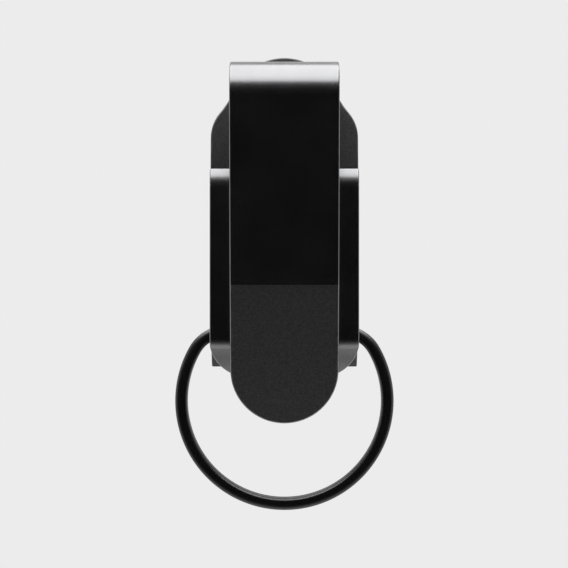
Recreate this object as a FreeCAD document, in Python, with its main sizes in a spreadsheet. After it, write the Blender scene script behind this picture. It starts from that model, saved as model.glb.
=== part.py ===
"""Key organiser: a folded belt clip that carries a split key ring.

The frame: X runs right, Y runs back, Z runs up, and the origin is the inside of the top fold, where
the belt's edge rests. All sizes are in millimetres.
"""
import FreeCAD, Part
import math
import os

import Sketcher

Vector = FreeCAD.Vector

DRIVING_SIZES = {
    "sheet_thickness": 1.2,
    "fold_inner_radius": 3.4,
    "arm_width": 15.5,
    "arm_slope": 6.0,
    "crease_depth": 30.6,
    "tongue_slope": 11.0,
    "tongue_depth": 50.6,
    "leaf_width": 21.7,
    "leaf_top_depth": 13.35,
    "leaf_top_radius": 4.4,
    "back_leaf_depth": 20.0,
    "lip_start_depth": 38.2,
    "lip_end_depth": 44.25,
    "lip_radius": 2.4,
    "lip_slope": 45.0,
    "leaf_corner_radius": 5.35,
    "lever_front": 5.7,
    "lever_upper_slope": 10.0,
    "lever_lower_slope": 7.5,
    "lever_top_height": 3.1,
    "lever_lip_start": 40.2,
    "lever_lip_slope": 40.0,
    "lever_end_depth": 42.95,
    "shoulder_depth": 8.95,
    "shoulder_radius": 5.95,
    "shoulder_turn": 40.0,
    "neck_radius": 11.5,
    "neck_turn": 18.0,
    "bend_radius": 1.6,
    "pivot_back": 9.0,
    "pivot_depth": 16.65,
    "pin_radius": 0.9,
    "pin_head_radius": 1.6,
    "pin_head_thickness": 0.5,
    "pin_end_play": 0.1,
    "running_clearance": 0.04,
    "lever_ear_inner": 5.3,
    "lever_ear_thickness": 1.2,
    "window_half_width": 5.3,
    "window_top_depth": 13.2,
    "window_bottom_depth": 20.3,
    "ear_radius": 1.9,
    "ear_root_half": 2.9,
    "ear_root_lean": 0.45,
    "bracket_thickness": 1.0,
    "bracket_half_width": 4.9,
    "bracket_top_depth": 11.0,
    "bracket_bottom_depth": 24.4,
    "bracket_foot_back": 6.58,
    "bracket_foot_height": 0.8,
    "bracket_ear_radius": 1.7,
    "bracket_ear_root_half": 2.2,
    "bracket_ear_lap": 0.5,
    "washer_radius": 1.7,
    "washer_thickness": 0.3,
    "rivet_radius": 0.8,
    "rivet_spacing": 4.4,
    "rivet_top_depth": 12.3,
    "rivet_bottom_depth": 22.2,
    "spring_wire": 0.6,
    "spring_coil_radius": 1.6,
    "spring_pitch": 0.65,
    "spring_turns": 3.0,
    "spring_bridge_half": 1.25,
    "spring_bridge_drop": 5.2,
    "spring_bridge_forward": 0.85,
    "spring_rest_rise": 2.6,
    "spring_rest_clearance": 0.05,
    "ring_outer_radius": 16.0,
    "ring_corner_radius": 6.3,
    "ring_bar_height": 11.05,
    "ring_wire_width": 1.8,
    "ring_coil_thickness": 1.15,
    "ring_coil_gap": 0.04,
    "ring_wire_rounding": 0.35,
    "ring_crossing_half": 5.0,
    "ring_back": 6.45,
    "ring_centre_depth": 47.6,
    "edge_rounding": 0.2,
    "cut_reach": 40.0,
}

OUTLINE_MARGIN = 2.0


def make_sheet(doc):
    """Put every driving size in the spreadsheet, one aliased cell to a row."""
    sheet = doc.addObject("Spreadsheet::Sheet", "Sizes")
    for row, (alias, value) in enumerate(DRIVING_SIZES.items(), start=1):
        sheet.set(f"A{row}", alias)
        sheet.set(f"B{row}", str(value))
        sheet.setAlias(f"B{row}", alias)
    doc.recompute()
    return sheet


class Outline:
    """A closed sketch outline made of lines and tangent arcs, drawn from a running point."""

    def __init__(self, start):
        self.start = Vector(start[0], start[1], 0)
        self.point = self.start
        self.edges = []

    def line_to(self, x, y):
        target = Vector(x, y, 0)
        if target.distanceToPoint(self.point) > 1e-7:
            self.edges.append(Part.LineSegment(self.point, target))
        self.point = target
        return self

    def arc_about(self, centre, turn):
        """Turn the running point about a centre, in degrees, positive anticlockwise."""
        centre = Vector(centre[0], centre[1], 0)
        arm = self.point - centre
        middle = centre + rotated(arm, turn / 2)
        target = centre + rotated(arm, turn)
        self.edges.append(Part.Arc(self.point, middle, target))
        self.point = target
        return self

    def close(self):
        return self.line_to(self.start.x, self.start.y).edges


def rotated(vector, degrees):
    angle = math.radians(degrees)
    across = vector.x * math.cos(angle) - vector.y * math.sin(angle)
    along = vector.x * math.sin(angle) + vector.y * math.cos(angle)
    return Vector(across, along, 0)


def origin_plane(body, role):
    return next(feature for feature in body.Origin.OriginFeatures if feature.Role == role)


def make_body(doc, label):
    body = doc.addObject("PartDesign::Body", label)
    body.Label = label
    return body


def make_sketch(body, name, role, offset, outlines):
    """Draw closed outlines on one of the body's origin planes, moved along the plane's normal."""
    sketch = body.newObject("Sketcher::SketchObject", name)
    sketch.AttachmentSupport = [(origin_plane(body, role), "")]
    sketch.MapMode = "FlatFace"
    sketch.AttachmentOffset = FreeCAD.Placement(Vector(0, 0, offset), FreeCAD.Rotation())
    for edges in outlines:
        for edge in edges:
            sketch.addGeometry(edge)
    return sketch


def circle(x, y, radius):
    return [Part.Circle(Vector(x, y, 0), Vector(0, 0, 1), radius)]


def rectangle(x_low, y_low, x_high, y_high):
    outline = Outline((x_low, y_low))
    outline.line_to(x_high, y_low).line_to(x_high, y_high).line_to(x_low, y_high)
    return outline.close()


def pad(body, sketch, name, length, symmetric=False, reverse=False):
    """Pad a sketch by a length given as an expression."""
    feature = body.newObject("PartDesign::Pad", name)
    feature.Profile = sketch
    if symmetric:
        feature.SideType = "Symmetric"
    feature.Reversed = reverse
    feature.setExpression("Length", length)
    body.Document.recompute()
    return feature


def pocket(body, sketch, name, length="Sizes.cut_reach", reverse=False):
    """Cut a sketch out of the body by a length given as an expression, and make sure that it cut."""
    before = body.Shape.Volume
    feature = body.newObject("PartDesign::Pocket", name)
    feature.Profile = sketch
    feature.Reversed = reverse
    feature.setExpression("Length", length)
    body.Document.recompute()
    if body.Shape.Volume > before - 1e-6:
        raise RuntimeError(f"{name} in {body.Label} cut nothing")
    return feature


def mirror_across_x(body, features, name):
    """Repeat features on the other side of the YZ plane."""
    feature = body.newObject("PartDesign::Mirrored", name)
    feature.Originals = features
    feature.MirrorPlane = (origin_plane(body, "YZ_Plane"), [""])
    body.Tip = feature
    body.Document.recompute()
    return feature


def round_edges(body, name, radius="Sizes.edge_rounding"):
    """Round every edge that the body has so far by a radius given as an expression."""
    base = body.Tip
    names = [f"Edge{i}" for i in range(1, len(base.Shape.Edges) + 1)]
    feature = body.newObject("PartDesign::Fillet", name)
    feature.Base = (base, names)
    feature.setExpression("Radius", radius)
    body.Document.recompute()
    return feature


def strip_normal(slope):
    """The unit vector out of the back of a strip that runs down and leans back by a slope."""
    angle = math.radians(slope)
    return Vector(math.cos(angle), math.sin(angle), 0)


def arm_outline(size):
    """Side view of the strip: up the back leaf, over the fold, down the arm and along the tongue."""
    thickness = size("sheet_thickness")
    inner = size("fold_inner_radius")
    outer = inner + thickness
    centre = Vector(0, -inner, 0)
    turn = 180 + size("arm_slope")
    slopes = (size("arm_slope"), size("tongue_slope"))
    arm_lean, tongue_lean = (math.tan(math.radians(slope)) for slope in slopes)
    arm_depth, tongue_depth = (thickness / math.cos(math.radians(slope)) for slope in slopes)
    start = centre - strip_normal(slopes[0]) * outer
    crease = start.x + (start.y + size("crease_depth")) * arm_lean
    tip = crease + (size("tongue_depth") - size("crease_depth")) * tongue_lean
    rise = (tongue_depth - arm_depth) / (tongue_lean - arm_lean)
    outline = Outline((inner, -size("back_leaf_depth")))
    outline.line_to(outer, -size("back_leaf_depth"))
    outline.line_to(outer, -inner)
    outline.arc_about((0, -inner), turn)
    outline.line_to(crease, -size("crease_depth"))
    outline.line_to(tip, -size("tongue_depth"))
    outline.line_to(tip + tongue_depth, -size("tongue_depth"))
    outline.line_to(crease + tongue_depth - rise * tongue_lean, rise - size("crease_depth"))
    inside = centre - strip_normal(slopes[0]) * inner
    outline.line_to(inside.x, inside.y)
    outline.arc_about((0, -inner), -turn)
    return outline.close()


def leaf_outline(size):
    """Side view of the wide leaf: a rounded-off top edge, a flat front and a lip bent back."""
    thickness = size("sheet_thickness")
    front = size("fold_inner_radius")
    back = front + thickness
    top_radius = size("leaf_top_radius")
    top_turn = math.degrees(math.acos(1 - thickness / top_radius))
    top_drop = top_radius * math.sin(math.radians(top_turn))
    flat_top = -size("leaf_top_depth") - top_drop
    slope = size("lip_slope")
    lip_radius = size("lip_radius")
    lip_centre = (front + lip_radius, -size("lip_start_depth"))
    bend_fall = lip_radius * math.sin(math.radians(slope))
    fall = size("lip_end_depth") - size("lip_start_depth") - bend_fall
    reach = fall * math.tan(math.radians(slope))
    outline = Outline((back, -size("leaf_top_depth")))
    outline.arc_about((front + top_radius, flat_top), top_turn)
    outline.line_to(front, -size("lip_start_depth"))
    outline.arc_about(lip_centre, slope)
    lip_front = outline.point + Vector(reach, -fall, 0)
    lip_back = lip_front + strip_normal(slope) * thickness
    outline.line_to(lip_front.x, lip_front.y)
    outline.line_to(lip_back.x, lip_back.y)
    inner_start = Vector(*lip_centre, 0) - strip_normal(slope) * (lip_radius - thickness)
    outline.line_to(inner_start.x, inner_start.y)
    outline.arc_about(lip_centre, -slope)
    return outline.close()


def tongue_corners(size):
    """The two corners cut off below the arm, leaving a half-round tongue."""
    radius = size("arm_width") / 2
    centre_height = -size("tongue_depth") + radius
    floor = -size("tongue_depth") - OUTLINE_MARGIN
    side_reach = radius + OUTLINE_MARGIN
    outlines = []
    for side in (-1, 1):
        outline = Outline((side * radius, centre_height))
        outline.arc_about((0, centre_height), -side * 90)
        outline.line_to(0, floor).line_to(side * side_reach, floor)
        outline.line_to(side * side_reach, centre_height)
        outlines.append(outline.close())
    return outlines


def leaf_corners(size):
    """The two rounded corners cut off the lip."""
    half = size("leaf_width") / 2
    radius = size("leaf_corner_radius")
    centre_height = radius - size("lip_end_depth")
    floor = -size("lip_end_depth") - OUTLINE_MARGIN
    side_reach = half + OUTLINE_MARGIN
    outlines = []
    for side in (-1, 1):
        outline = Outline((side * half, centre_height))
        outline.arc_about((side * (half - radius), centre_height), -side * 90)
        outline.line_to(side * (half - radius), floor).line_to(side * side_reach, floor)
        outline.line_to(side * side_reach, centre_height)
        outlines.append(outline.close())
    return outlines


def rivet_places(size):
    """The four rivets' places as X and Z."""
    across = size("rivet_spacing") / 2
    depths = (size("rivet_top_depth"), size("rivet_bottom_depth"))
    return [(side * across, -depth) for depth in depths for side in (-1, 1)]


def rivet_holes(size):
    return [circle(x, height, size("rivet_radius")) for x, height in rivet_places(size)]


def clip_spring(doc, size):
    """One bent strip of spring steel: tongue, arm, fold, back leaf, wide leaf and lip."""
    body = make_body(doc, "clip_spring")
    arm = make_sketch(body, "arm_side", "YZ_Plane", 0, [arm_outline(size)])
    pad(body, arm, "arm", "Sizes.arm_width", symmetric=True)
    leaf = make_sketch(body, "leaf_side", "YZ_Plane", 0, [leaf_outline(size)])
    pad(body, leaf, "leaf", "Sizes.leaf_width", symmetric=True)
    between = size("fold_inner_radius") - size("edge_rounding")
    tongue = make_sketch(body, "tongue_front", "XZ_Plane", -size("fold_inner_radius"), tongue_corners(size))
    pocket(body, tongue, "tongue_end", reverse=True)
    corners = make_sketch(body, "leaf_front", "XZ_Plane", -between, leaf_corners(size))
    pocket(body, corners, "lip_corners")
    round_edges(body, "worn_edges")
    holes = make_sketch(body, "rivet_front", "XZ_Plane", -between, rivet_holes(size))
    pocket(body, holes, "rivet_holes", "2 * Sizes.sheet_thickness")
    return body


def lever_bend_points(size):
    """The lever's front face as points in Y and Z, from above its rounded top to its end."""
    front = size("lever_front")
    pivot = -size("pivot_depth")
    top_height = size("lever_top_height") + OUTLINE_MARGIN
    top = front + (top_height - pivot) * math.tan(math.radians(size("lever_upper_slope")))
    lower = math.tan(math.radians(size("lever_lower_slope")))
    lip_back = front + (size("lever_lip_start") - size("pivot_depth")) * lower
    drop = size("lever_end_depth") - size("lever_lip_start")
    end_back = lip_back + drop * math.tan(math.radians(size("lever_lip_slope")))
    return [
        Vector(top, top_height, 0),
        Vector(front, pivot, 0),
        Vector(lip_back, -size("lever_lip_start"), 0),
        Vector(end_back, -size("lever_end_depth"), 0),
    ]


def bends_of(points, inner_radius, thickness):
    """Where a strip turns at each inner point: the bend's start, centre and turn in degrees."""
    bends = []
    for before, corner, after in zip(points, points[1:], points[2:]):
        arriving = (corner - before).normalize()
        leaving = (after - corner).normalize()
        turn = math.degrees(math.atan2(arriving.cross(leaving).z, arriving.dot(leaving)))
        radius = inner_radius + thickness if turn > 0 else inner_radius
        setback = radius * math.tan(math.radians(abs(turn)) / 2)
        start = corner - arriving * setback
        left = Vector(-arriving.y, arriving.x, 0)
        centre = start + left * math.copysign(radius, turn)
        bends.append((start, centre, turn))
    return bends


def lever_side(size):
    """Side view of the lever's blade: straight runs joined by round bends."""
    thickness = size("sheet_thickness")
    front = lever_bend_points(size)
    bends = bends_of(front, size("bend_radius"), thickness)
    outline = Outline((front[0].x, front[0].y))
    for start, centre, turn in bends:
        outline.line_to(start.x, start.y)
        outline.arc_about((centre.x, centre.y), turn)
    outline.line_to(front[-1].x, front[-1].y)
    last = (front[-1] - front[-2]).normalize()
    end = front[-1] + Vector(-last.y, last.x, 0) * thickness
    outline.line_to(end.x, end.y)
    for start, centre, turn in bends[::-1]:
        side = (centre - start).normalize() * math.copysign(thickness, turn)
        begin = centre + rotated(start + side - centre, turn)
        outline.line_to(begin.x, begin.y)
        outline.arc_about((centre.x, centre.y), -turn)
    first = (front[1] - front[0]).normalize()
    top = front[0] + Vector(-first.y, first.x, 0) * thickness
    outline.line_to(top.x, top.y)
    return outline.close()


def lever_front(size):
    """Front view of the lever: square end, straight sides, rounded shoulders and a round thumb tab."""
    half = size("leaf_width") / 2
    shoulder = size("shoulder_radius")
    neck = size("neck_radius")
    shoulder_turn = size("shoulder_turn")
    neck_turn = size("neck_turn")
    bottom = -size("lever_end_depth") - OUTLINE_MARGIN
    outline = Outline((-half, bottom))
    outline.line_to(half, bottom).line_to(half, -size("shoulder_depth"))
    outline.arc_about((half - shoulder, -size("shoulder_depth")), shoulder_turn)
    out = rotated(Vector(1, 0, 0), shoulder_turn)
    neck_centre = outline.point + out * neck
    outline.arc_about((neck_centre.x, neck_centre.y), -neck_turn)
    lean = shoulder_turn - neck_turn
    top_radius = outline.point.x / math.cos(math.radians(lean))
    top_centre = (0, outline.point.y - top_radius * math.sin(math.radians(lean)))
    outline.arc_about(top_centre, 180 - 2 * lean)
    outline.arc_about((-neck_centre.x, neck_centre.y), -neck_turn)
    outline.arc_about((-(half - shoulder), -size("shoulder_depth")), shoulder_turn)
    return outline.close()


def lever_ear(size):
    """Side view of one of the lever's ears, round about the pin."""
    radius = size("ear_radius")
    back = size("pivot_back")
    height = -size("pivot_depth")
    root = size("lever_front") + size("sheet_thickness") / 2
    outline = Outline((root, height - size("ear_root_half")))
    outline.line_to(back, height - radius)
    outline.arc_about((back, height), 180)
    outline.line_to(root + size("ear_root_lean"), height + size("ear_root_half"))
    return outline.close()


def release_lever(doc, size):
    """The stamped lever behind the clip: thumb tab, shoulders, window, two ears and a turned end."""
    body = make_body(doc, "release_lever")
    side = make_sketch(body, "lever_side", "YZ_Plane", 0, [lever_side(size)])
    pad(body, side, "blade", "Sizes.leaf_width", symmetric=True)
    beyond = size("leaf_width")
    frame = rectangle(-beyond, -size("lever_end_depth") - beyond, beyond, beyond)
    front = make_sketch(body, "lever_front", "XZ_Plane", 0, [frame, lever_front(size)])
    pocket(body, front, "blade_edge")
    round_edges(body, "worn_edges")
    window = rectangle(-size("window_half_width"), -size("window_bottom_depth"),
                       size("window_half_width"), -size("window_top_depth"))
    opening = make_sketch(body, "window_front", "XZ_Plane", 0, [window])
    pocket(body, opening, "window")
    ear = make_sketch(body, "ear_side", "YZ_Plane", size("lever_ear_inner"), [lever_ear(size)])
    right_ear = pad(body, ear, "right_ear", "Sizes.lever_ear_thickness")
    mirror_across_x(body, [right_ear], "left_ear")
    bore = circle(size("pivot_back"), -size("pivot_depth"), size("pin_radius") + size("running_clearance"))
    hole = make_sketch(body, "pin_side", "YZ_Plane", -size("cut_reach") / 2, [bore])
    pocket(body, hole, "pin_holes", reverse=True)
    return body


def hinge_bracket(doc, size):
    """The U bracket riveted to the clip's back: base, two ears and a foot that stops the lever."""
    body = make_body(doc, "hinge_bracket")
    base_back = size("fold_inner_radius") + size("sheet_thickness")
    half = size("bracket_half_width")
    top = -size("bracket_top_depth")
    bottom = -size("bracket_bottom_depth")
    base = make_sketch(body, "base_front", "XZ_Plane", -base_back, [rectangle(-half, bottom, half, top)])
    pad(body, base, "base", "Sizes.bracket_thickness", reverse=True)
    foot_top = bottom + size("bracket_foot_height")
    foot_edge = rectangle(-half, bottom, half, foot_top)
    foot = make_sketch(body, "foot_front", "XZ_Plane", -base_back, [foot_edge])
    pad(body, foot, "foot", "Sizes.bracket_foot_back - Sizes.fold_inner_radius - Sizes.sheet_thickness",
        reverse=True)
    height = -size("pivot_depth")
    back = size("pivot_back")
    radius = size("bracket_ear_radius")
    root = base_back + size("bracket_ear_lap")
    outline = Outline((root, height - size("bracket_ear_root_half")))
    outline.line_to(back, height - radius)
    outline.arc_about((back, height), 180)
    outline.line_to(root, height + size("bracket_ear_root_half"))
    inner = half - size("bracket_thickness")
    ear = make_sketch(body, "ear_side", "YZ_Plane", inner, [outline.close()])
    right_ear = pad(body, ear, "right_ear", "Sizes.bracket_thickness")
    mirror_across_x(body, [right_ear], "left_ear")
    bore = circle(back, height, size("pin_radius"))
    hole = make_sketch(body, "pin_side", "YZ_Plane", -size("cut_reach") / 2, [bore])
    pocket(body, hole, "pin_holes", reverse=True)
    holes = make_sketch(body, "rivet_front", "XZ_Plane", -size("fold_inner_radius"), rivet_holes(size))
    pocket(body, holes, "rivet_holes", "Sizes.sheet_thickness + 2 * Sizes.bracket_thickness")
    return body


def round_bar(doc, label, outline):
    """A turned piece: an outline in X and radius, revolved about the X axis of its own body."""
    body = make_body(doc, label)
    sketch = make_sketch(body, label + "_half", "XY_Plane", 0, [outline])
    turned = body.newObject("PartDesign::Revolution", label + "_turned")
    turned.Profile = sketch
    turned.ReferenceAxis = (sketch, ["H_Axis"])
    turned.Angle = 360
    doc.recompute()
    return body


def hinge_pin(doc, size):
    """The pin, with a peened head at each end."""
    shaft = size("pin_radius")
    head = size("pin_head_radius")
    inner = size("lever_ear_inner") + size("lever_ear_thickness") + size("pin_end_play")
    outer = inner + size("pin_head_thickness")
    rounding = size("edge_rounding")
    outline = Outline((-outer, 0))
    outline.line_to(-outer, head - rounding)
    outline.arc_about((-outer + rounding, head - rounding), -90)
    outline.line_to(-inner, head).line_to(-inner, shaft).line_to(inner, shaft).line_to(inner, head)
    outline.line_to(outer - rounding, head)
    outline.arc_about((outer - rounding, head - rounding), -90)
    outline.line_to(outer, 0)
    body = round_bar(doc, "hinge_pin", outline.close())
    body.setExpression("Placement.Base.y", "Sizes.pivot_back")
    body.setExpression("Placement.Base.z", "-Sizes.pivot_depth")
    return body


def hinge_washer(doc, size, label, side):
    """A thin washer between an ear of the bracket and an ear of the lever."""
    body = make_body(doc, label)
    rim = circle(0, 0, size("washer_radius"))
    bore = circle(0, 0, size("pin_radius") + size("running_clearance"))
    sketch = make_sketch(body, label + "_face", "YZ_Plane", 0, [rim, bore])
    pad(body, sketch, label + "_pad", "Sizes.washer_thickness", symmetric=True)
    middle = f"{side} * (Sizes.bracket_half_width + Sizes.lever_ear_inner) / 2"
    body.setExpression("Placement.Base.x", middle)
    body.setExpression("Placement.Base.y", "Sizes.pivot_back")
    body.setExpression("Placement.Base.z", "-Sizes.pivot_depth")
    return body


def bracket_rivets(doc, size):
    """Four flush rivets through the clip and the bracket, as one compound of separate solids."""
    front = size("fold_inner_radius")
    length = size("sheet_thickness") + size("bracket_thickness")
    rivets = []
    for x, height in rivet_places(size):
        place = Vector(x, front, height)
        rivets.append(Part.makeCylinder(size("rivet_radius"), length, place, Vector(0, 1, 0)))
    feature = doc.addObject("Part::Feature", "bracket_rivets")
    feature.Label = "bracket_rivets"
    feature.Shape = Part.makeCompound(rivets)
    return feature


def straight_wire(start, end, radius):
    """A straight run of round wire with a ball at its far end."""
    along = end - start
    run = Part.makeCylinder(radius, along.Length, start, along)
    return run.fuse(Part.makeSphere(radius, end))


def lever_spring(doc, size):
    """The double torsion spring on the pin, between the bracket's ears."""
    coil = size("spring_coil_radius")
    wire = size("spring_wire") / 2
    back = size("pivot_back")
    height = -size("pivot_depth")
    inner = size("spring_bridge_half")
    outer = inner + size("spring_pitch") * size("spring_turns")
    coils = []
    for side in (-1, 1):
        helix = Part.makeHelix(size("spring_pitch"), outer - inner, coil)
        climb = size("spring_pitch") / (2 * math.pi * coil)
        section = Part.Circle(Vector(coil, 0, 0), Vector(0, 1, climb), wire).toShape()
        pipe = Part.Wire(helix.Edges).makePipeShell([Part.Wire(section)], True, True)
        pipe.rotate(Vector(0, 0, 0), Vector(0, 1, 0), 90)
        pipe.rotate(Vector(0, 0, 0), Vector(1, 0, 0), 90)
        pipe.translate(Vector(inner, back, height))
        if side < 0:
            pipe = pipe.mirror(Vector(0, 0, 0), Vector(1, 0, 0))
        coils.append(pipe)
    joined = coils[0]
    for piece in coils[1:] + spring_legs(size, inner, outer):
        joined = joined.fuse(piece)
    feature = doc.addObject("Part::Feature", "lever_spring")
    feature.Label = "lever_spring"
    feature.Shape = joined
    return feature


def spring_legs(size, inner, outer):
    """The bridge leg behind the lever and the two outer legs on the bracket's base."""
    coil = size("spring_coil_radius")
    wire = size("spring_wire") / 2
    back = size("pivot_back")
    height = -size("pivot_depth")
    bridge_height = height - size("spring_bridge_drop")
    bridge_back = back - size("spring_bridge_forward")
    base = size("fold_inner_radius") + size("sheet_thickness") + size("bracket_thickness")
    rest_back = base + wire + size("spring_rest_clearance")
    rest_height = height + size("spring_rest_rise")
    legs = []
    for side in (-1, 1):
        low = Vector(side * inner, bridge_back, bridge_height)
        legs.append(straight_wire(Vector(side * inner, back - coil, height), low, wire))
        rest = Vector(side * outer, rest_back, rest_height)
        legs.append(straight_wire(Vector(side * outer, back - coil, height), rest, wire))
    left = Vector(-inner, bridge_back, bridge_height)
    right = Vector(inner, bridge_back, bridge_height)
    legs.append(straight_wire(left, right, wire))
    return legs


def coil_outline(size):
    """Front view of one coil: a round loop with a flat bar at the top, open across the bar's middle."""
    radius = size("ring_outer_radius")
    corner = size("ring_corner_radius")
    bar = size("ring_bar_height")
    width = size("ring_wire_width")
    gap = size("ring_crossing_half")
    height = -size("ring_centre_depth")
    corner_rise = bar - corner
    corner_reach = math.sqrt((radius - corner) ** 2 - corner_rise ** 2)
    join = math.degrees(math.atan2(corner_rise, corner_reach))
    turns = (
        ((corner_reach, height + corner_rise), join - 90),
        ((0, height), -180 - 2 * join),
        ((-corner_reach, height + corner_rise), join - 90),
    )
    outline = Outline((gap, height + bar))
    outline.line_to(corner_reach, height + bar)
    for centre, turn in turns:
        outline.arc_about(centre, turn)
    outline.line_to(-gap, height + bar).line_to(-gap, height + bar - width)
    outline.line_to(-corner_reach, height + bar - width)
    for centre, turn in reversed(turns):
        outline.arc_about(centre, -turn)
    outline.line_to(gap, height + bar - width)
    return outline.close()


def split_ring(doc, size):
    """The split ring: two coils of one wire, which crosses from one to the other along the bar."""
    body = make_body(doc, "split_ring")
    step = (size("ring_coil_thickness") + size("ring_coil_gap")) / 2
    half = size("ring_coil_thickness") / 2
    gap = size("ring_crossing_half")
    front = size("ring_back") - step
    back = size("ring_back") + step
    bar = size("ring_bar_height") - size("ring_wire_width") / 2 - size("ring_centre_depth")
    coil = make_sketch(body, "front_coil_loop", "XZ_Plane", -front, [coil_outline(size)])
    pad(body, coil, "front_coil", "Sizes.ring_coil_thickness", symmetric=True)
    crossing = Outline((-gap, front - half))
    crossing.line_to(gap, back - half).line_to(gap, back + half).line_to(-gap, front + half)
    plan = make_sketch(body, "crossing_plan", "XY_Plane", bar, [crossing.close()])
    pad(body, plan, "crossing", "Sizes.ring_wire_width", symmetric=True)
    coil = make_sketch(body, "back_coil_loop", "XZ_Plane", -back, [coil_outline(size)])
    pad(body, coil, "back_coil", "Sizes.ring_coil_thickness", symmetric=True)
    round_edges(body, "wire_rounding", "Sizes.ring_wire_rounding")
    return body


def check(doc, parts):
    """Stop if any feature failed or any part is not a sound solid."""
    doc.recompute()
    for item in doc.Objects:
        if "Invalid" in item.State or "Error" in item.State:
            raise RuntimeError(f"{item.Label} failed: {item.State}")
    for part in parts:
        shape = part.Shape
        if shape.isNull() or not shape.isValid() or not shape.Solids:
            raise RuntimeError(f"{part.Label} has no sound shape")
        print(part.Label, len(shape.Solids), "solid(s)", round(shape.Volume, 2), "mm3", shape.BoundBox)


def main():
    doc = FreeCAD.newDocument("key_organiser")
    sheet = make_sheet(doc)

    def size(alias):
        return float(sheet.get(alias))

    parts = [
        clip_spring(doc, size),
        release_lever(doc, size),
        hinge_bracket(doc, size),
        hinge_pin(doc, size),
        hinge_washer(doc, size, "washer_left", -1),
        hinge_washer(doc, size, "washer_right", 1),
        bracket_rivets(doc, size),
        lever_spring(doc, size),
        split_ring(doc, size),
    ]
    check(doc, parts)
    os.makedirs("parts", exist_ok=True)
    for part in parts:
        part.Shape.exportStep(f"parts/{part.Label}.step")


main()
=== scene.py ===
"""The looks of the key organiser: black coated steel clip, release lever, spring and split key ring.

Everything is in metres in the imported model's frame: X right, Y back, Z up.
"""

import math

import bpy
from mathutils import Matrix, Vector


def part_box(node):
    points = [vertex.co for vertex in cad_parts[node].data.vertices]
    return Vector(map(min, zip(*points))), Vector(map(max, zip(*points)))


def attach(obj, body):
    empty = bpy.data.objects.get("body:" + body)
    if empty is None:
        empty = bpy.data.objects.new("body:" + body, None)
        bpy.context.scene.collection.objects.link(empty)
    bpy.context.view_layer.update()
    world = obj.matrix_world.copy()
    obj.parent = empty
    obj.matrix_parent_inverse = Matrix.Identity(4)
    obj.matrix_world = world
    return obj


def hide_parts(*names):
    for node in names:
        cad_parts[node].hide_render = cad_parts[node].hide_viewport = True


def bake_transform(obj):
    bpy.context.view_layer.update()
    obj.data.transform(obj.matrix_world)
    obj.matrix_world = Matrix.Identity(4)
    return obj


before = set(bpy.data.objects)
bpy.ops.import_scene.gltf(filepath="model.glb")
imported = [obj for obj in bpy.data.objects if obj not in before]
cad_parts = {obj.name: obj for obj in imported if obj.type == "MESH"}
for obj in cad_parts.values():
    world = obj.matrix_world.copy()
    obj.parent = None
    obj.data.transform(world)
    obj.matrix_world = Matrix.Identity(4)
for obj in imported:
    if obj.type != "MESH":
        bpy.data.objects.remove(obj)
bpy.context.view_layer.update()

MM = 0.001

CAMERA_DISTANCE = 0.2266
CAMERA_SIDE = -0.06 * MM
CAMERA_HEIGHT = -0.0305
CAMERA_LENS = 100.6
BACKGROUND = 0.838
FLOOR_HEIGHT = -1.25
FLOOR_RADIUS = 2.5
FLOOR_PAINT = (0.92, 0.92, 0.92)
CARD_DISTANCE = 0.62
CARD_WIDTH = 2.6
CARD_HEIGHT = 2.2
CARD_FADE_POWER = 3.0
CARD_EDGE_GLOW = 0.8
CARD_MIDDLE_GLOW = 0.004

CLOUD_SCALE = 180.0
WEAR_WIDTH = 0.3 * MM
WEAR_AMOUNT = 0.6
WEAR_BREAK_SCALE = 700.0
SHARP_MATCH = 0.96
FLAT_MATCH = 0.995
CREASE_HEIGHT = -30.6 * MM
FINISH_FADE = 0.1 * MM
TONGUE_BACK = 3.3 * MM

SMOOTH_ANGLE = 40
RING_WIRE_WIDTH = 1.8 * MM
RING_COIL_GAP = 0.04 * MM
RING_ROUNDING = 0.56 * MM
RING_OUTER_ROUNDING = 0.85 * MM
RING_INNER_ROUNDING = 0.5 * MM
RING_CORNER = 6.3 * MM
RING_CROSSING_HALF = 5.0 * MM
END_TAPER = 0.75
BAR_STEPS = 12
BEND_STEPS = 24
CORNER_STEPS = 8
LOOP_STEPS = 260

SPRING_WIRE_RADIUS = 0.3 * MM
SPRING_COIL_RADIUS = 1.6 * MM
SPRING_INNER_END = 1.25 * MM
SPRING_LEG_RISE = 2.6 * MM
SPRING_BRIDGE_INSET = 0.75 * MM
SPRING_BRIDGE_DROP = 5.2 * MM
SPRING_BEND = 0.5 * MM
SPRING_FIRST_TURN = 206.0
SPRING_LAST_TURN = 180.0 + 3 * 360.0
SPRING_COIL_STEPS = 110
SPRING_BEND_STEPS = 6
SPRING_WIRE_SIDES = 14


# ---------------------------------------------------------------- materials

def link(material, source, target):
    """Join one node's output to another's input."""
    material.node_tree.links.new(source, target)


def feed(material, value, target):
    """Give an input either another node's output or a fixed value."""
    if isinstance(value, bpy.types.NodeSocket):
        link(material, value, target)
    else:
        target.default_value = value


def new_material(name, colour, metallic, roughness):
    """A material and its principled shader, with the values that are even all over set on it."""
    material = bpy.data.materials.new(name)
    material.use_nodes = True
    shader = material.node_tree.nodes["Principled BSDF"]
    shader.inputs["Base Color"].default_value = (*colour, 1)
    shader.inputs["Metallic"].default_value = metallic
    shader.inputs["Roughness"].default_value = roughness
    return material, shader


def add_node(material, kind, **values):
    """Add a node and feed its inputs by name."""
    node = material.node_tree.nodes.new(kind)
    for name, value in values.items():
        feed(material, value, node.inputs[name])
    return node


def calculate(material, operation, *values):
    """The result of a maths node, from fixed numbers and other nodes' outputs."""
    node = material.node_tree.nodes.new("ShaderNodeMath")
    node.operation = operation
    for target, value in zip(node.inputs, values):
        feed(material, value, target)
    return node.outputs["Value"]


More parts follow.
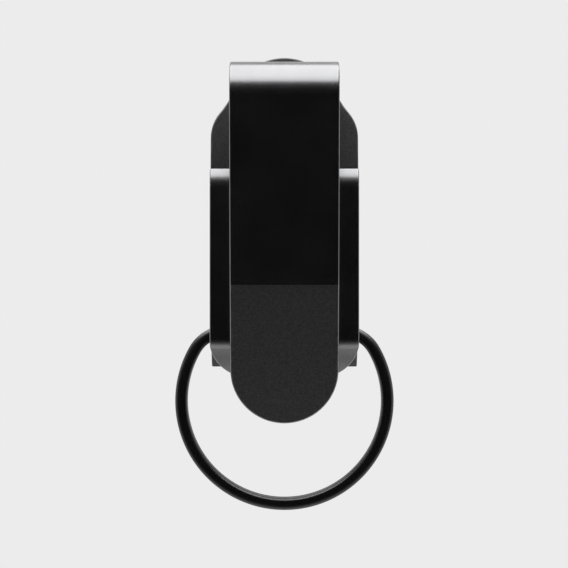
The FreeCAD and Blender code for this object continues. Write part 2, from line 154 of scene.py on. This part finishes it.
def object_axes(material):
    """The place on the object, split into X, Y and Z."""
    place = add_node(material, "ShaderNodeTexCoord")
    return add_node(material, "ShaderNodeSeparateXYZ", Vector=place.outputs["Object"]).outputs


def object_noise(material, scale, detail=3.0, stretch=(1, 1, 1)):
    """Noise laid out in the object's own space, so that it stays put when the piece moves."""
    place = add_node(material, "ShaderNodeTexCoord")
    mapping = add_node(material, "ShaderNodeMapping", Vector=place.outputs["Object"], Scale=stretch)
    noise = add_node(material, "ShaderNodeTexNoise", Scale=scale, Detail=detail)
    link(material, mapping.outputs["Vector"], noise.inputs["Vector"])
    return noise.outputs["Fac"]


def spread(material, source, low, high, start=0.35, end=0.65):
    """Map a value from start to end onto low to high."""
    node = add_node(material, "ShaderNodeMapRange")
    node.inputs["From Min"].default_value = start
    node.inputs["From Max"].default_value = end
    feed(material, low, node.inputs["To Min"])
    feed(material, high, node.inputs["To Max"])
    link(material, source, node.inputs["Value"])
    return node.outputs["Result"]


def grain_bump(material, shader, height, strength, distance):
    """Raise the surface by a fine grain."""
    bump = add_node(material, "ShaderNodeBump", Distance=distance, Strength=strength, Height=height)
    link(material, bump.outputs["Normal"], shader.inputs["Normal"])


def mixed_colour(material, factor, first, second):
    """A blend of two colours, each of them fixed or another node's output."""
    mix = material.node_tree.nodes.new("ShaderNodeMix")
    mix.data_type = "RGBA"
    link(material, factor, mix.inputs["Factor"])
    for name, colour in (("A", first), ("B", second)):
        value = (*colour, 1) if isinstance(colour, tuple) else colour
        feed(material, value, mix.inputs[name])
    return mix.outputs["Result"]


def worn_edges(material, colour, worn):
    """Lighten a colour in a thin broken line along the edges, where the coating has rubbed."""
    rounded = add_node(material, "ShaderNodeBevel", Radius=WEAR_WIDTH)
    surface = add_node(material, "ShaderNodeNewGeometry")
    match = material.node_tree.nodes.new("ShaderNodeVectorMath")
    match.operation = "DOT_PRODUCT"
    link(material, rounded.outputs["Normal"], match.inputs[0])
    link(material, surface.outputs["Normal"], match.inputs[1])
    edge = spread(material, match.outputs["Value"], 1, 0, SHARP_MATCH, FLAT_MATCH)
    breaks = object_noise(material, WEAR_BREAK_SCALE, detail=4.0)
    patch = spread(material, breaks, 0.25 * WEAR_AMOUNT, WEAR_AMOUNT, 0.4, 0.6)
    return mixed_colour(material, calculate(material, "MULTIPLY", edge, patch), colour, worn)


def coated_steel(name, dark, light, roughness, grain_scale, grain_depth):
    """Black coated steel: fine blasted grain, cloudy gloss, slightly uneven colour and worn edges."""
    material, shader = new_material(name, dark, 1.0, roughness)
    cloud = object_noise(material, CLOUD_SCALE)
    grain = object_noise(material, grain_scale, detail=2.0)
    colour = mixed_colour(material, spread(material, grain, 0, 1), dark, light)
    worn = tuple(2.0 * part for part in light)
    link(material, worn_edges(material, colour, worn), shader.inputs["Base Color"])
    gloss = spread(material, cloud, roughness - 0.015, roughness + 0.015)
    link(material, gloss, shader.inputs["Roughness"])
    grain_bump(material, shader, grain, 0.35, grain_depth)
    return material


def on_tongue(material):
    """One on the arm below its crease, and nought elsewhere on the clip."""
    axes = object_axes(material)
    below = spread(material, axes["Z"], 1, 0, CREASE_HEIGHT - FINISH_FADE, CREASE_HEIGHT)
    ahead = spread(material, axes["Y"], 1, 0, TONGUE_BACK, TONGUE_BACK + FINISH_FADE)
    return calculate(material, "MULTIPLY", below, ahead)


def clip_steel():
    """The clip's coating: satin on the arm and the leaf, and blasted matte below the crease."""
    dark = (0.192, 0.192, 0.197)
    light = (0.205, 0.205, 0.208)
    matte_dark = (0.18, 0.18, 0.182)
    matte_light = (0.26, 0.26, 0.262)
    material, shader = new_material("clip_coating", dark, 1.0, 0.3)
    tongue = on_tongue(material)
    cloud = object_noise(material, CLOUD_SCALE)
    grain = object_noise(material, 3600.0, detail=2.0)
    satin_colour = mixed_colour(material, spread(material, cloud, 0, 1), dark, light)
    matte_colour = mixed_colour(material, spread(material, grain, 0, 1), matte_dark, matte_light)
    colour = mixed_colour(material, tongue, satin_colour, matte_colour)
    worn = tuple(1.8 * part for part in light)
    link(material, worn_edges(material, colour, worn), shader.inputs["Base Color"])
    satin_gloss = spread(material, cloud, 0.25, 0.27)
    gloss = spread(material, tongue, satin_gloss, 0.37, 0, 1)
    link(material, gloss, shader.inputs["Roughness"])
    strength = spread(material, tongue, 0.15, 0.6, 0, 1)
    grain_bump(material, shader, grain, strength, 0.02 * MM)
    return material


def bright_steel(name, colour, roughness):
    """Plain drawn steel with fine lines along X and duller patches."""
    material, shader = new_material(name, colour, 1.0, roughness)
    lines = object_noise(material, 900.0, detail=4.0, stretch=(0.1, 1, 1))
    patches = object_noise(material, 400.0)
    shade = tuple(0.75 * part for part in colour)
    tint = mixed_colour(material, spread(material, patches, 0, 1), shade, colour)
    link(material, tint, shader.inputs["Base Color"])
    gloss = spread(material, lines, roughness - 0.06, roughness + 0.08)
    link(material, gloss, shader.inputs["Roughness"])
    grain_bump(material, shader, lines, 0.2, 0.01 * MM)
    return material


def moulded_nylon():
    """Dark nylon with a faint moulded texture."""
    material, shader = new_material("nylon_dark", (0.03, 0.03, 0.03), 0.0, 0.5)
    texture = object_noise(material, 2500.0)
    link(material, spread(material, texture, 0.42, 0.58), shader.inputs["Roughness"])
    grain_bump(material, shader, texture, 0.3, 0.02 * MM)
    return material


def card_paint():
    """A glow that rises from dark at the card's middle to pale at its upper and lower edges."""
    material = bpy.data.materials.new("card_paint")
    material.use_nodes = True
    material.node_tree.nodes.clear()
    from_middle = calculate(material, "ABSOLUTE", object_axes(material)["Y"])
    share = calculate(material, "MULTIPLY", from_middle, 2.0)
    fade = calculate(material, "POWER", share, CARD_FADE_POWER)
    strength = calculate(material, "MULTIPLY_ADD", fade, CARD_EDGE_GLOW, CARD_MIDDLE_GLOW)
    glow = add_node(material, "ShaderNodeEmission", Strength=strength)
    output = add_node(material, "ShaderNodeOutputMaterial")
    link(material, glow.outputs["Emission"], output.inputs["Surface"])
    return material


def dress(piece, material):
    """Give a piece one material in every slot."""
    if not piece.material_slots:
        piece.data.materials.append(material)
    for material_slot in piece.material_slots:
        material_slot.material = material


# ---------------------------------------------------------------- meshes

def swept_piece(name, rings):
    """A mesh through rings of points, one ring to each section, with its ends capped."""
    count = len(rings[0])
    points = [point for ring in rings for point in ring]
    faces = []
    for i in range(len(rings) - 1):
        for j in range(count):
            near, far = i * count, (i + 1) * count
            after = (j + 1) % count
            faces.append((near + j, near + after, far + after, far + j))
    faces.append(tuple(range(count - 1, -1, -1)))
    last = (len(rings) - 1) * count
    faces.append(tuple(range(last, last + count)))
    mesh = bpy.data.meshes.new(name)
    mesh.from_pydata(points, [], faces)
    mesh.update()
    piece = bpy.data.objects.new(name, mesh)
    bpy.context.scene.collection.objects.link(piece)
    return piece


def fix_and_smooth(piece):
    """Turn the faces outwards and shade the piece smooth except across sharp edges."""
    bpy.context.view_layer.objects.active = piece
    bpy.ops.object.select_all(action="DESELECT")
    piece.select_set(True)
    bpy.ops.object.mode_set(mode="EDIT")
    bpy.ops.mesh.select_all(action="SELECT")
    bpy.ops.mesh.normals_make_consistent(inside=False)
    bpy.ops.object.mode_set(mode="OBJECT")
    bpy.ops.object.shade_smooth_by_angle(angle=math.radians(SMOOTH_ANGLE))


def wire_section(width, height):
    """The ring wire's outline about its centre, rounder towards the outside of the ring."""
    outline = []
    corners = ((1, 1, 0), (-1, 1, 90), (-1, -1, 180), (1, -1, 270))
    for across, up, first in corners:
        reach = RING_OUTER_ROUNDING if across > 0 else RING_INNER_ROUNDING
        middle = (across * (width / 2 - reach), up * (height / 2 - RING_ROUNDING))
        for k in range(CORNER_STEPS + 1):
            angle = math.radians(first + 90 * k / CORNER_STEPS)
            outline.append((middle[0] + reach * math.cos(angle),
                            middle[1] + RING_ROUNDING * math.sin(angle)))
    return outline


def loop_points(reach, bar, corner, gap):
    """Points along a coil's middle line, clockwise from right of the crossing to left of it."""
    rise = bar - corner
    side = math.sqrt((reach - corner) ** 2 - rise ** 2)
    join = math.degrees(math.atan2(rise, side))
    points = [(gap + (side - gap) * k / BAR_STEPS, bar) for k in range(BAR_STEPS)]
    arcs = (
        ((side, rise), corner, 90, join, BEND_STEPS),
        ((0, 0), reach, join, -180 - join, LOOP_STEPS),
        ((-side, rise), corner, 180 - join, 90, BEND_STEPS),
    )
    for centre, radius, first, last, steps in arcs:
        for k in range(steps):
            angle = math.radians(first + (last - first) * k / steps)
            points.append((centre[0] + radius * math.cos(angle), centre[1] + radius * math.sin(angle)))
    points += [(-side + (side - gap) * k / BAR_STEPS, bar) for k in range(BAR_STEPS + 1)]
    return points


def key_ring(box):
    """The split ring as one wire: two coils, with the crossing from one to the other along the bar."""
    low, high = Vector(box[0]), Vector(box[1])
    outer = (high.x - low.x) / 2
    half_wire = RING_WIRE_WIDTH / 2
    thickness = (high.y - low.y - RING_COIL_GAP) / 2
    step = (thickness + RING_COIL_GAP) / 2
    middle_back = (low.y + high.y) / 2
    centre_height = low.z + outer
    bar = high.z - centre_height - half_wire
    coil = loop_points(outer - half_wire, bar, RING_CORNER - half_wire, RING_CROSSING_HALF)
    crossing = []
    for k in range(1, BAR_STEPS):
        part_way = k / BAR_STEPS
        crossing.append((-RING_CROSSING_HALF + 2 * RING_CROSSING_HALF * part_way, bar,
                         -step * math.cos(math.pi * part_way)))
    line = [(x, z, -step) for x, z in coil] + crossing + [(x, z, step) for x, z in coil]
    path = [Vector((x, middle_back + back, centre_height + z)) for x, z, back in line]
    section = wire_section(RING_WIRE_WIDTH, thickness)
    rings = []
    for i, point in enumerate(path):
        along = path[min(len(path) - 1, i + 1)] - path[max(0, i - 1)]
        along.y = 0
        along.normalize()
        outward = Vector((-along.z, 0, along.x))
        taper = END_TAPER if i in (0, len(path) - 1) else 1.0
        offsets = [outward * across + Vector((0, up, 0)) for across, up in section]
        rings.append([tuple(point + taper * offset) for offset in offsets])
    piece = swept_piece("key_ring", rings)
    fix_and_smooth(piece)
    return piece


def tube_rings(path, radius):
    """Round sections along a path, each turned as little as possible from the last."""
    rings = []
    across = None
    for i, point in enumerate(path):
        before = path[max(0, i - 1)]
        after = path[min(len(path) - 1, i + 1)]
        along = (after - before).normalized()
        if across is None:
            across = along.orthogonal().normalized()
        across = (across - along * across.dot(along)).normalized()
        up = along.cross(across)
        turns = [2 * math.pi * k / SPRING_WIRE_SIDES for k in range(SPRING_WIRE_SIDES)]
        rings.append([tuple(point + radius * (math.cos(a) * across + math.sin(a) * up)) for a in turns])
    return rings


def spring_half(pivot, outer, rest, bridge):
    """One half of the double torsion spring, from its outer leg's tip to the bridge."""
    points = [Vector((outer, *rest))]
    for i in range(SPRING_COIL_STEPS + 1):
        part_way = i / SPRING_COIL_STEPS
        angle = math.radians(SPRING_FIRST_TURN + (SPRING_LAST_TURN - SPRING_FIRST_TURN) * part_way)
        points.append(Vector((outer + (SPRING_INNER_END - outer) * part_way,
                              pivot[0] + SPRING_COIL_RADIUS * math.cos(angle),
                              pivot[1] + SPRING_COIL_RADIUS * math.sin(angle))))
    points.append(Vector((SPRING_INNER_END, bridge[0], bridge[1] + SPRING_BEND)))
    for i in range(1, SPRING_BEND_STEPS + 1):
        angle = math.radians(90 * i / SPRING_BEND_STEPS)
        points.append(Vector((SPRING_INNER_END - SPRING_BEND * (1 - math.cos(angle)), bridge[0],
                              bridge[1] + SPRING_BEND * (1 - math.sin(angle)))))
    return points


def torsion_spring(pin_box, spring_box):
    """The double torsion spring round the hinge pin."""
    low, high = Vector(pin_box[0]), Vector(pin_box[1])
    pivot = ((low.y + high.y) / 2, (low.z + high.z) / 2)
    outer = spring_box[1][0] - SPRING_WIRE_RADIUS
    rest = (spring_box[0][1] + SPRING_WIRE_RADIUS, pivot[1] + SPRING_LEG_RISE)
    bridge = (pivot[0] - SPRING_COIL_RADIUS + SPRING_BRIDGE_INSET, pivot[1] - SPRING_BRIDGE_DROP)
    right = spring_half(pivot, outer, rest, bridge)
    left = [Vector((-point.x, point.y, point.z)) for point in reversed(right)]
    piece = swept_piece("torsion_spring", tube_rings(right + left, SPRING_WIRE_RADIUS))
    fix_and_smooth(piece)
    return piece


# ---------------------------------------------------------------- studio

def aim(thing, target):
    """Turn a camera or a light to face a point."""
    thing.rotation_euler = (Vector(target) - thing.location).to_track_quat("-Z", "Y").to_euler()


def add_camera():
    """Square on to the front, level with the crease."""
    data = bpy.data.cameras.new("camera")
    data.lens = CAMERA_LENS
    data.clip_start = 0.01
    camera = bpy.data.objects.new("camera", data)
    camera.location = (CAMERA_SIDE, -CAMERA_DISTANCE, CAMERA_HEIGHT)
    aim(camera, (CAMERA_SIDE, 0, CAMERA_HEIGHT))
    bpy.context.scene.collection.objects.link(camera)
    bpy.context.scene.camera = camera


def add_area_light(name, place, target, width, depth, power):
    """A soft rectangular light that the camera doesn't see."""
    data = bpy.data.lights.new(name, "AREA")
    data.shape = "RECTANGLE"
    data.size = width
    data.size_y = depth
    data.energy = power
    light = bpy.data.objects.new(name, data)
    light.location = place
    aim(light, target)
    light.visible_camera = False
    bpy.context.scene.collection.objects.link(light)


def add_world():
    """An even pale world."""
    world = bpy.data.worlds.new("studio")
    world.use_nodes = True
    world.node_tree.nodes["Background"].inputs["Color"].default_value = (BACKGROUND,) * 3 + (1,)
    bpy.context.scene.world = world


def add_floor():
    """A plain pale floor, well below the hanging part."""
    bpy.ops.mesh.primitive_circle_add(vertices=96, radius=FLOOR_RADIUS, fill_type="NGON",
                                      location=(0, 0, FLOOR_HEIGHT))
    floor = bpy.context.object
    floor.name = "floor"
    material, _ = new_material("floor_paint", FLOOR_PAINT, 0.0, 0.8)
    dress(floor, material)


def add_dark_card():
    """A card behind the camera, dark in its middle, that the coated steel reflects."""
    bpy.ops.mesh.primitive_plane_add(size=1, location=(0, -CARD_DISTANCE, CAMERA_HEIGHT),
                                     rotation=(math.pi / 2, 0, 0))
    card = bpy.context.object
    card.name = "dark_card"
    card.scale = (CARD_WIDTH, CARD_HEIGHT, 1)
    dress(card, card_paint())
    card.visible_camera = False
    card.visible_diffuse = False
    card.visible_shadow = False


def build_studio():
    """Camera, pale surroundings and soft light from above."""
    bpy.context.scene.view_settings.view_transform = "Standard"
    add_camera()
    add_world()
    add_floor()
    add_dark_card()
    add_area_light("top_softbox", place=(0, -0.13, 0.4), target=(0, -0.13, 0),
                   width=0.8, depth=0.72, power=5.8)


# ---------------------------------------------------------------- the object

def dress_cad_nodes():
    """Give the CAD's own meshes their finishes."""
    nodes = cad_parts
    matte = coated_steel("lever_coating", dark=(0.062, 0.062, 0.064), light=(0.082, 0.082, 0.082),
                         roughness=0.37, grain_scale=3600.0, grain_depth=0.03 * MM)
    satin = coated_steel("bracket_coating", dark=(0.16, 0.16, 0.165), light=(0.19, 0.19, 0.19),
                         roughness=0.33, grain_scale=4200.0, grain_depth=0.012 * MM)
    dress(nodes["clip_spring"], clip_steel())
    dress(nodes["release_lever"], matte)
    dress(nodes["hinge_bracket"], satin)
    dress(nodes["hinge_pin"], bright_steel("pin_steel", (0.34, 0.34, 0.35), 0.3))
    dress(nodes["bracket_rivets"], bright_steel("rivet_steel", (0.3, 0.3, 0.31), 0.35))
    nylon = moulded_nylon()
    for side in ("left", "right"):
        dress(nodes[f"washer_{side}"], nylon)


def add_ring():
    """The finer ring in place of the CAD's."""
    ring = key_ring(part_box("split_ring"))
    gloss_black = coated_steel("ring_coating", dark=(0.07, 0.07, 0.072), light=(0.082, 0.082, 0.082),
                               roughness=0.33, grain_scale=2600.0, grain_depth=0.006 * MM)
    dress(ring, gloss_black)
    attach(ring, "ring")
    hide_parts("split_ring")


def add_spring():
    """The finer spring in place of the CAD's."""
    spring = torsion_spring(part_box("hinge_pin"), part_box("lever_spring"))
    dress(spring, bright_steel("spring_steel", (0.45, 0.45, 0.46), 0.28))
    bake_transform(spring)
    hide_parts("lever_spring")


build_studio()
dress_cad_nodes()
add_ring()
add_spring()
